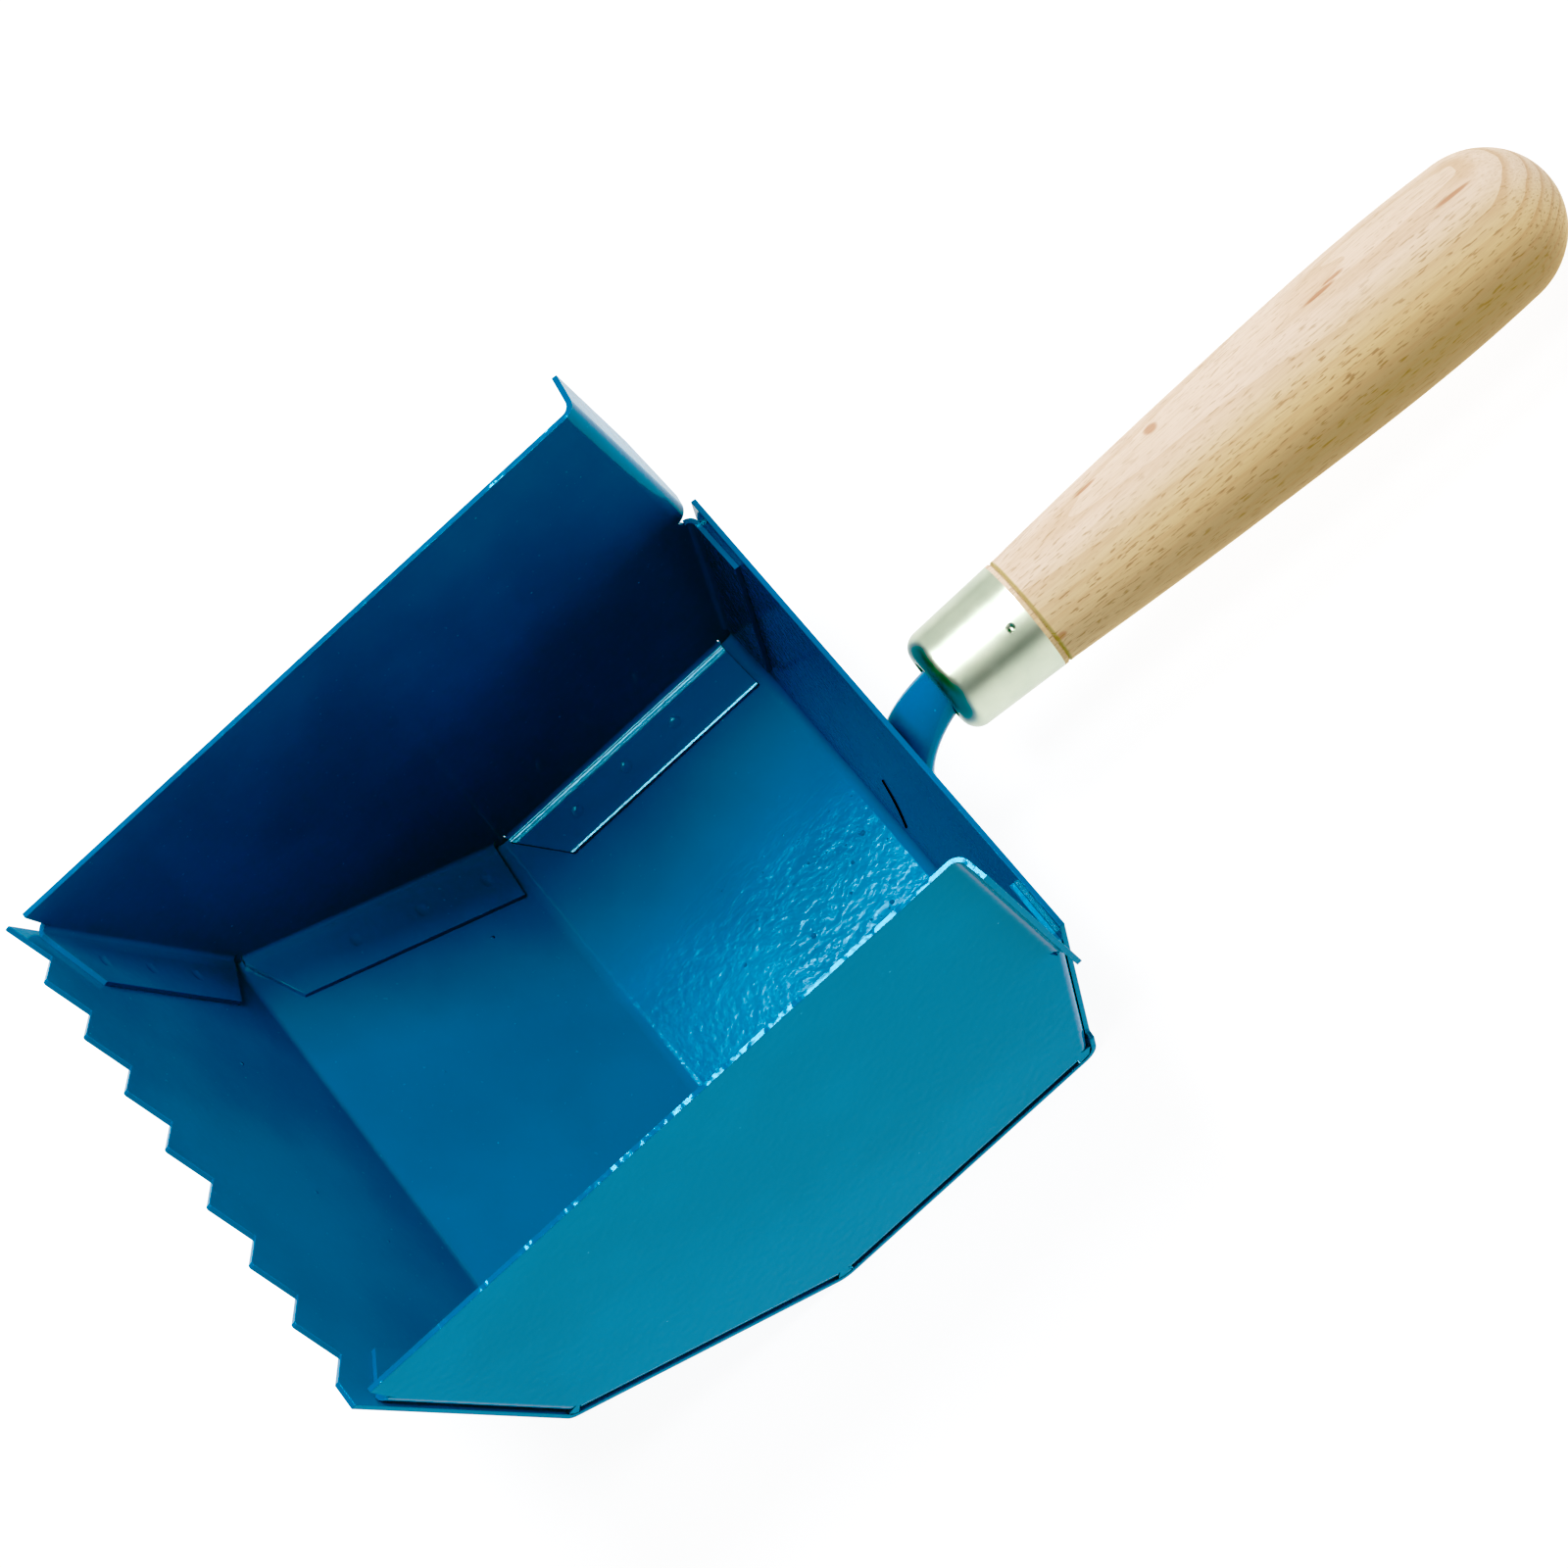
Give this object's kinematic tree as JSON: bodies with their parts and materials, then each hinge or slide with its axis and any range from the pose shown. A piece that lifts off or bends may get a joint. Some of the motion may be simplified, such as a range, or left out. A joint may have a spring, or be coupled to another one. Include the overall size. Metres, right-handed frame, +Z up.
{
  "type": "notched mortar scoop trowel",
  "caption": "Box-shaped steel mortar scoop with a saw-toothed pouring lip, spot-welded side plates and a turned wooden handle.",
  "frame": {"origin": "centre of the flat underside of the rear floor, on which the tool rests", "axes": "+X to the right side plate, +Y towards the handle, +Z up out of the open rim; the toothed lip faces -Y"},
  "size_m": [0.1282, 0.2893, 0.0943],
  "materials": {
    "blue_powder_coat": "glossy powder coat with slight orange peel",
    "plated_steel": "zinc plated, satin gloss, finely scratched",
    "beech": "turned beech, bare and sanded",
    "weld_steel": "resistance weld nugget, hidden between the sheets"
  },
  "bodies": {
    "root": {"scoop_sheet": "blue_powder_coat", "side_plate_left": "blue_powder_coat", "side_plate_right": "blue_powder_coat", "tang": "blue_powder_coat", "tang_weld": "blue_powder_coat", "ferrule": "plated_steel", "handle_grip": "beech", "spot_welds_lip_left": "weld_steel", "spot_welds_lip_right": "weld_steel", "spot_welds_front_floor_left": "weld_steel", "spot_welds_front_floor_right": "weld_steel", "spot_welds_rear_floor_left": "weld_steel", "spot_welds_rear_floor_right": "weld_steel", "spot_welds_back_left": "weld_steel", "spot_welds_back_right": "weld_steel"}
  },
  "joints": []
}
